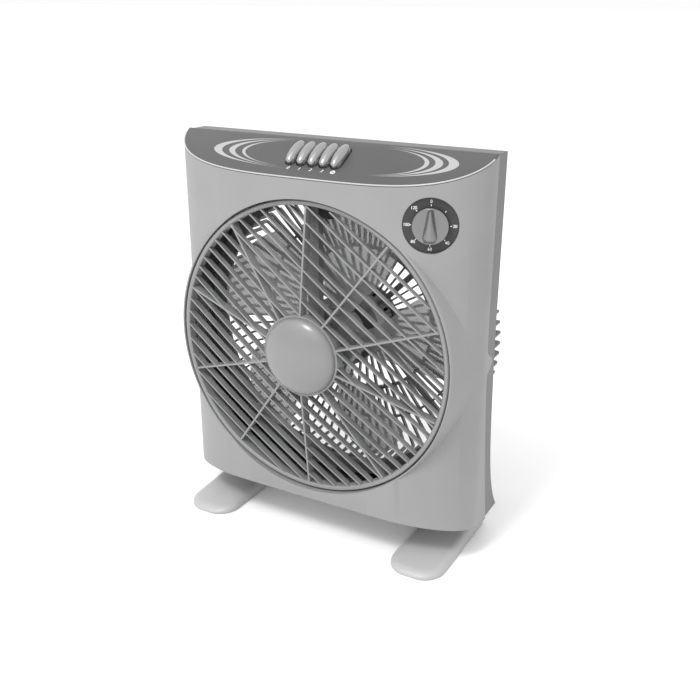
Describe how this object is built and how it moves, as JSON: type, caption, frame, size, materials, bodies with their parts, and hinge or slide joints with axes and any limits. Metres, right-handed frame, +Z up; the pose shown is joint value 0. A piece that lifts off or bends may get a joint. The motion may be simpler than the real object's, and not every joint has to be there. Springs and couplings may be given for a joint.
{
  "type": "box fan",
  "caption": "Free-standing box fan with a rotating louvre over a caged rotor, a sloping key panel, a timer dial and two feet.",
  "frame": {"origin": "on the ground, at the centre of the overall box", "axes": "+X to the right seen from the front, +Y towards the back, +Z up; the fan axis runs along Y at a height of 238 mm"},
  "size_m": [0.381, 0.1698, 0.4647],
  "materials": {
    "cabinet": "satin moulded grey",
    "rear_cabinet": "satin moulded grey, a shade darker",
    "feet": "satin moulded light grey",
    "panel": "dark printed panel with pale arcs",
    "grille": "moulded mid grey",
    "louvre": "satin moulded grey",
    "cap": "smooth light grey",
    "blades": "translucent moulded",
    "keys": "silver lacquered",
    "knob": "silver plated",
    "dial": "black with white ticks and numbers",
    "rubber": "black",
    "dark_plastic": "black moulded",
    "white_plastic": "white moulded",
    "motor_case": "black paint",
    "laminations": "stacked steel sheets",
    "copper": "enamelled copper wire",
    "bronze": "sintered bronze",
    "steel": "zinc plated"
  },
  "bodies": {
    "cabinet": {"front_shell": "cabinet", "rear_shell": "rear_cabinet", "control_panel": "panel", "rear_grille": "grille", "grille_wall": "grille", "foot_left": "feet", "foot_right": "feet", "foot_pads": "rubber", "foot_screws": "steel", "shell_screws": "steel", "grille_screws": "steel", "louvre_arm": "grille", "arm_screws": "steel", "arm_grommet": "rubber", "louvre_motor": "motor_case", "motor_rear_cap": "motor_case", "motor_front_cap": "motor_case", "stator_core": "laminations", "winding_front": "copper", "winding_rear": "copper", "front_bush": "bronze", "rear_bush": "bronze", "motor_screws": "steel", "switch_bank": "white_plastic", "switch_screws": "steel", "timer_plate": "dial", "timer_body": "white_plastic", "timer_nut": "steel", "capacitor": "white_plastic", "capacitor_clip": "steel", "terminal_block": "white_plastic", "lead_gland": "dark_plastic"},
    "rotor": {"motor_shaft": "steel", "rotor_core": "laminations", "fan_rotor": "blades", "rotor_nut": "dark_plastic", "drive_pin": "steel"},
    "louvre": {"louvre_shaft": "steel", "louvre": "louvre", "louvre_screw": "steel", "louvre_cap": "cap"},
    "knob": {"timer_knob": "knob", "timer_spindle": "dark_plastic"},
    "key_0": {"key_0": "keys", "key_stem_0": "dark_plastic"},
    "key_1": {"key_1": "keys", "key_stem_1": "dark_plastic"},
    "key_2": {"key_2": "keys", "key_stem_2": "dark_plastic"},
    "key_3": {"key_3": "keys", "key_stem_3": "dark_plastic"},
    "key_4": {"key_4": "keys", "key_stem_4": "dark_plastic"}
  },
  "joints": [
    {"name": "rotor_spin", "type": "hinge", "parent": "cabinet", "child": "rotor", "pos_m": [0, 0, 0.238], "axis": [0, 1, 0], "continuous": true},
    {"name": "louvre_spin", "type": "hinge", "parent": "cabinet", "child": "louvre", "pos_m": [0, 0, 0.238], "axis": [0, 1, 0], "continuous": true},
    {"name": "timer_turn", "type": "hinge", "parent": "cabinet", "child": "knob", "pos_m": [0.139, -0.04212, 0.3966], "axis": [-0.342, 0.9397, 0], "range_deg": [0, 315]},
    {"name": "key_0_press", "type": "slide", "parent": "cabinet", "child": "key_0", "axis": [0, 0.4856, -0.8742], "range_m": [0, 0.005], "stiffness_N_per_m": 500, "springref_m": -0.002},
    {"name": "key_1_press", "type": "slide", "parent": "cabinet", "child": "key_1", "axis": [0, 0.4856, -0.8742], "range_m": [0, 0.005], "stiffness_N_per_m": 500, "springref_m": -0.002},
    {"name": "key_2_press", "type": "slide", "parent": "cabinet", "child": "key_2", "axis": [0, 0.4856, -0.8742], "range_m": [0, 0.005], "stiffness_N_per_m": 500, "springref_m": -0.002},
    {"name": "key_3_press", "type": "slide", "parent": "cabinet", "child": "key_3", "axis": [0, 0.4856, -0.8742], "range_m": [0, 0.005], "stiffness_N_per_m": 500, "springref_m": -0.002},
    {"name": "key_4_press", "type": "slide", "parent": "cabinet", "child": "key_4", "axis": [0, 0.4856, -0.8742], "range_m": [0, 0.005], "stiffness_N_per_m": 500, "springref_m": -0.002}
  ]
}
